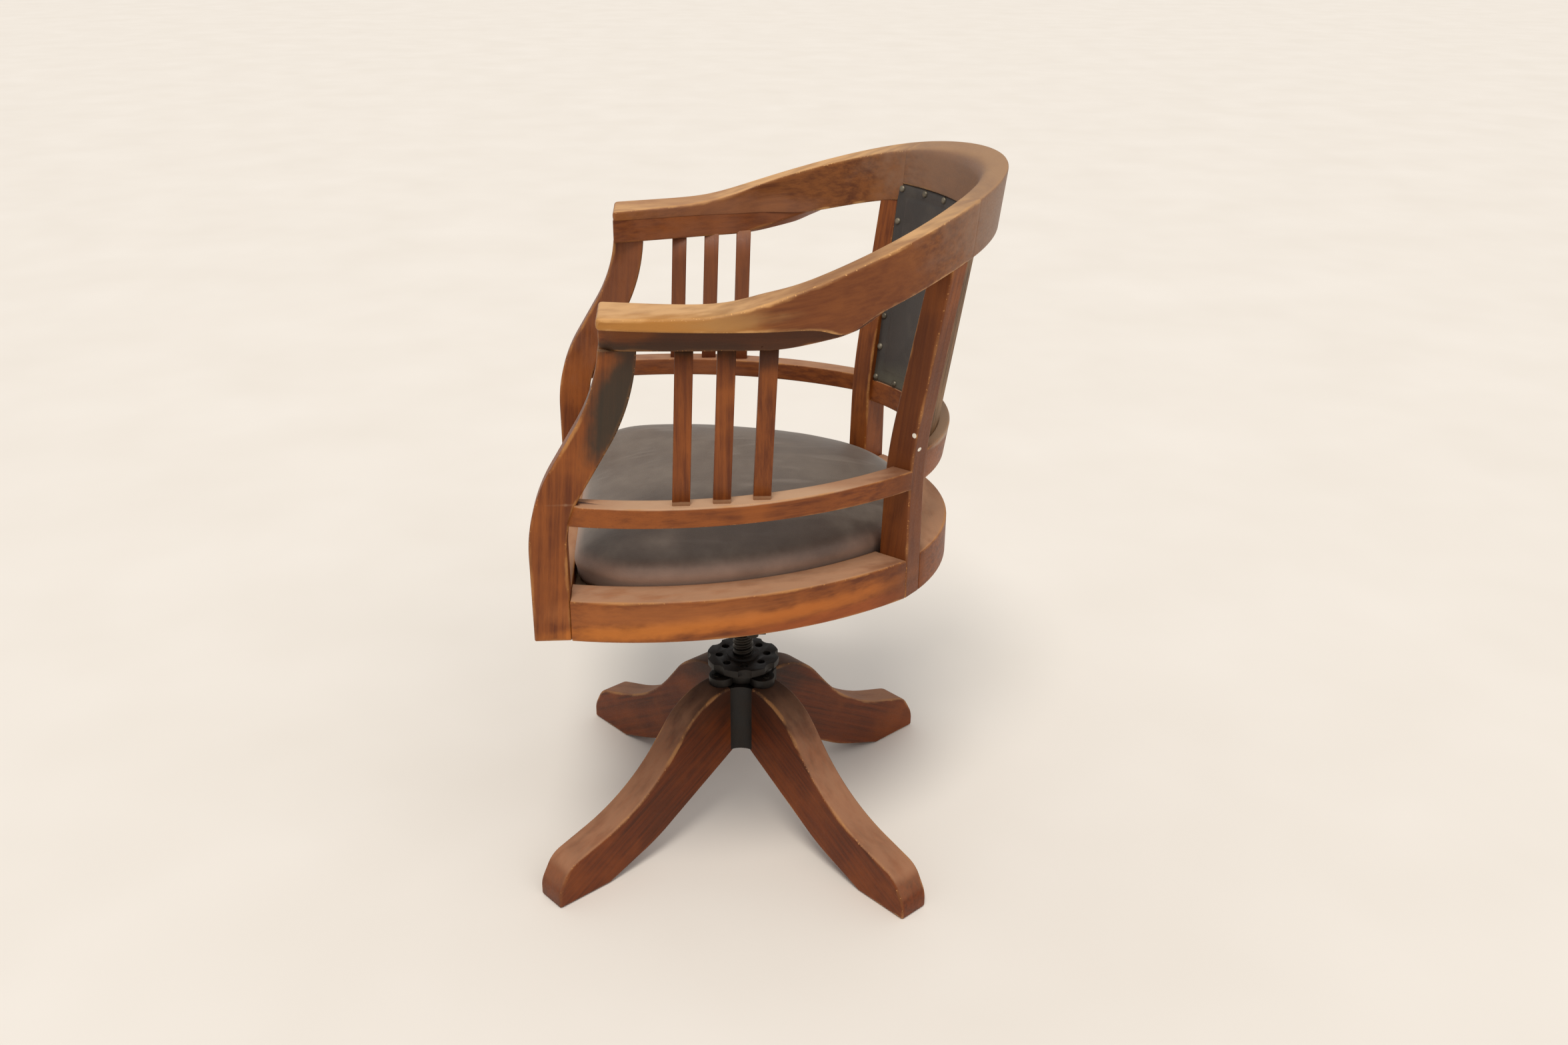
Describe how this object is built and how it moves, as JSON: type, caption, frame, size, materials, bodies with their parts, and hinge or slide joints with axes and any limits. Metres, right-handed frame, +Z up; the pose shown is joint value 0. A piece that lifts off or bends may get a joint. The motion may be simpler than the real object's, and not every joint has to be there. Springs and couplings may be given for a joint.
{
  "type": "bankers swivel chair",
  "caption": "Wooden office armchair with a curved bow of arms and crest, slatted sides, leather seat and back panel, on a wooden swivel base with a screw lift.",
  "frame": {"origin": "on the floor under the swivel axis", "axes": "+Z up, -Y to the front of the seat, +X to the sitter's left"},
  "size_m": [0.636, 0.5953, 0.927],
  "materials": {
    "leg_wood": "old reddish stained and varnished, dusty",
    "frame_wood": "old reddish stained and varnished, worn at the edges",
    "bow_wood": "old stained and varnished, worn golden on top",
    "inner_wood": "dark stained softwood and ply",
    "cast_iron": "black painted, dull",
    "steel": "oiled, dark",
    "bronze": "turned",
    "seat_leather": "creased, slightly sheened",
    "back_leather": "smooth, slightly sheened",
    "nail_brass": "dulled"
  },
  "bodies": {
    "base": {"leg_front_left": "leg_wood", "leg_rear_left": "leg_wood", "leg_rear_right": "leg_wood", "leg_front_right": "leg_wood", "column_tube": "cast_iron", "leg_flange": "cast_iron", "flange_screws": "steel", "leg_bolts": "steel", "leg_bolt_nuts": "steel", "column_top_bush": "bronze", "column_bottom_bush": "bronze", "lower_thrust_washer": "steel"},
    "carrier": {"guide_sleeve": "steel", "guide_key": "steel", "upper_thrust_washer": "steel"},
    "wheel": {"hand_wheel": "cast_iron"},
    "seat": {"front_post_left": "frame_wood", "front_post_right": "frame_wood", "rear_post_left": "frame_wood", "rear_post_right": "frame_wood", "side_seat_rail_left": "frame_wood", "side_seat_rail_right": "frame_wood", "upper_side_rail_left": "frame_wood", "upper_side_rail_right": "frame_wood", "slat_front_left": "frame_wood", "slat_front_right": "frame_wood", "slat_middle_left": "frame_wood", "slat_middle_right": "frame_wood", "slat_rear_left": "frame_wood", "slat_rear_right": "frame_wood", "under_arm_rail_left": "frame_wood", "under_arm_rail_right": "frame_wood", "arm_left": "bow_wood", "arm_right": "bow_wood", "lift_screw": "steel", "seat_iron": "cast_iron", "seat_iron_bolts": "steel", "seat_board": "inner_wood", "corner_blocks": "inner_wood", "front_seat_rail": "frame_wood", "back_seat_rail": "frame_wood", "mid_back_rail": "frame_wood", "crest_rail": "bow_wood", "bow_dowels": "inner_wood", "back_board": "inner_wood", "back_panel": "back_leather", "back_nails": "nail_brass", "seat_pad": "seat_leather"}
  },
  "joints": [
    {"name": "swivel", "type": "hinge", "parent": "base", "child": "carrier", "pos_m": [0, 0, 0.2305], "axis": [0, 0, 1], "continuous": true},
    {"name": "wheel_turn", "type": "hinge", "parent": "carrier", "child": "wheel", "pos_m": [0, 0, 0.2405], "axis": [0, 0, 1], "range_deg": [-2251, 4276]},
    {"name": "height", "type": "slide", "parent": "carrier", "child": "seat", "axis": [0, 0, 1], "range_m": [-0.095, 0.05]}
  ],
  "couplings": [
    {"joint": "wheel_turn", "follows": "height", "rad_per_m": -785.4}
  ]
}
